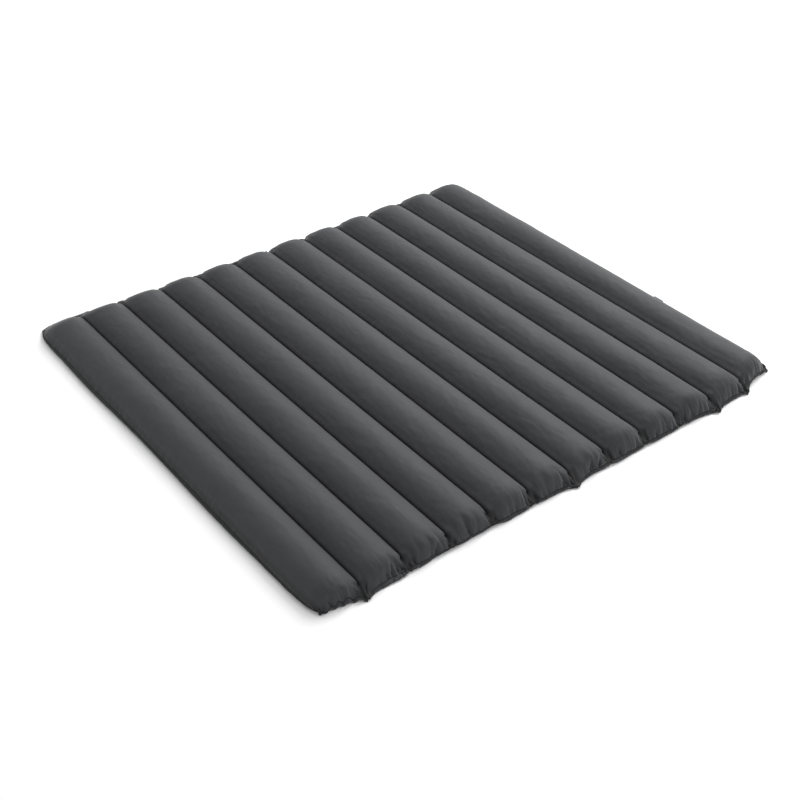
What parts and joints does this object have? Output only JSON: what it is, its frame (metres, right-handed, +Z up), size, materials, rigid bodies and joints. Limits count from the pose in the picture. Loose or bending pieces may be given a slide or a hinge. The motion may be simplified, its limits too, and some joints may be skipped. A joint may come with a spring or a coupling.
{
  "type": "futon mattress",
  "caption": "Flat channel-quilted futon mat with parallel fibre-filled channels, sewn-through seams that it folds along, a knife-edge rim and a plain side loop.",
  "frame": {"origin": "under the middle of the mat, on the surface that it lies on", "axes": "+Z up; +X across the channels, towards the edge with the side label; +Y along the channels"},
  "size_m": [1.2106, 1.1212, 0.048],
  "materials": {
    "cover_top": "matte",
    "cover_bottom": "matte",
    "filling": "matte",
    "thread": "satin",
    "label": "satin"
  },
  "bodies": {
    "channel_01": {"top_panel_01": "cover_top", "bottom_panel_01": "cover_bottom", "filling_01": "filling", "edge_thread_01": "thread", "quilting_thread_01": "thread"},
    "channel_02": {"top_panel_02": "cover_top", "bottom_panel_02": "cover_bottom", "filling_02": "filling", "edge_thread_02": "thread", "quilting_thread_02": "thread"},
    "channel_03": {"top_panel_03": "cover_top", "bottom_panel_03": "cover_bottom", "filling_03": "filling", "edge_thread_03": "thread", "quilting_thread_03": "thread"},
    "channel_04": {"top_panel_04": "cover_top", "bottom_panel_04": "cover_bottom", "filling_04": "filling", "edge_thread_04": "thread", "quilting_thread_04": "thread"},
    "channel_05": {"top_panel_05": "cover_top", "bottom_panel_05": "cover_bottom", "filling_05": "filling", "edge_thread_05": "thread", "quilting_thread_05": "thread"},
    "channel_06": {"top_panel_06": "cover_top", "bottom_panel_06": "cover_bottom", "filling_06": "filling", "edge_thread_06": "thread"},
    "channel_07": {"top_panel_07": "cover_top", "bottom_panel_07": "cover_bottom", "filling_07": "filling", "edge_thread_07": "thread", "quilting_thread_06": "thread"},
    "channel_08": {"top_panel_08": "cover_top", "bottom_panel_08": "cover_bottom", "filling_08": "filling", "edge_thread_08": "thread", "quilting_thread_07": "thread"},
    "channel_09": {"top_panel_09": "cover_top", "bottom_panel_09": "cover_bottom", "filling_09": "filling", "edge_thread_09": "thread", "quilting_thread_08": "thread"},
    "channel_10": {"top_panel_10": "cover_top", "bottom_panel_10": "cover_bottom", "filling_10": "filling", "edge_thread_10": "thread", "quilting_thread_09": "thread"},
    "channel_11": {"top_panel_11": "cover_top", "bottom_panel_11": "cover_bottom", "filling_11": "filling", "edge_thread_11": "thread", "quilting_thread_10": "thread"},
    "channel_12": {"top_panel_12": "cover_top", "bottom_panel_12": "cover_bottom", "filling_12": "filling", "edge_thread_12": "thread", "quilting_thread_11": "thread", "side_label": "label"}
  },
  "joints": [
    {"name": "seam_fold_01", "type": "hinge", "parent": "channel_02", "child": "channel_01", "pos_m": [-0.5, 0, 0.015], "axis": [0, -1, 0], "range_deg": [-85, 85]},
    {"name": "seam_fold_02", "type": "hinge", "parent": "channel_03", "child": "channel_02", "pos_m": [-0.4, 0, 0.015], "axis": [0, 1, 0], "range_deg": [-85, 85]},
    {"name": "seam_fold_03", "type": "hinge", "parent": "channel_04", "child": "channel_03", "pos_m": [-0.3, 0, 0.015], "axis": [0, -1, 0], "range_deg": [-85, 85]},
    {"name": "seam_fold_04", "type": "hinge", "parent": "channel_05", "child": "channel_04", "pos_m": [-0.2, 0, 0.015], "axis": [0, 1, 0], "range_deg": [-85, 85]},
    {"name": "seam_fold_05", "type": "hinge", "parent": "channel_06", "child": "channel_05", "pos_m": [-0.1, 0, 0.015], "axis": [0, -1, 0], "range_deg": [-85, 85]},
    {"name": "seam_fold_06", "type": "hinge", "parent": "channel_06", "child": "channel_07", "pos_m": [0, 0, 0.015], "axis": [0, -1, 0], "range_deg": [-85, 85]},
    {"name": "seam_fold_07", "type": "hinge", "parent": "channel_07", "child": "channel_08", "pos_m": [0.1, 0, 0.015], "axis": [0, 1, 0], "range_deg": [-85, 85]},
    {"name": "seam_fold_08", "type": "hinge", "parent": "channel_08", "child": "channel_09", "pos_m": [0.2, 0, 0.015], "axis": [0, -1, 0], "range_deg": [-85, 85]},
    {"name": "seam_fold_09", "type": "hinge", "parent": "channel_09", "child": "channel_10", "pos_m": [0.3, 0, 0.015], "axis": [0, 1, 0], "range_deg": [-85, 85]},
    {"name": "seam_fold_10", "type": "hinge", "parent": "channel_10", "child": "channel_11", "pos_m": [0.4, 0, 0.015], "axis": [0, -1, 0], "range_deg": [-85, 85]},
    {"name": "seam_fold_11", "type": "hinge", "parent": "channel_11", "child": "channel_12", "pos_m": [0.5, 0, 0.015], "axis": [0, 1, 0], "range_deg": [-85, 85]}
  ]
}
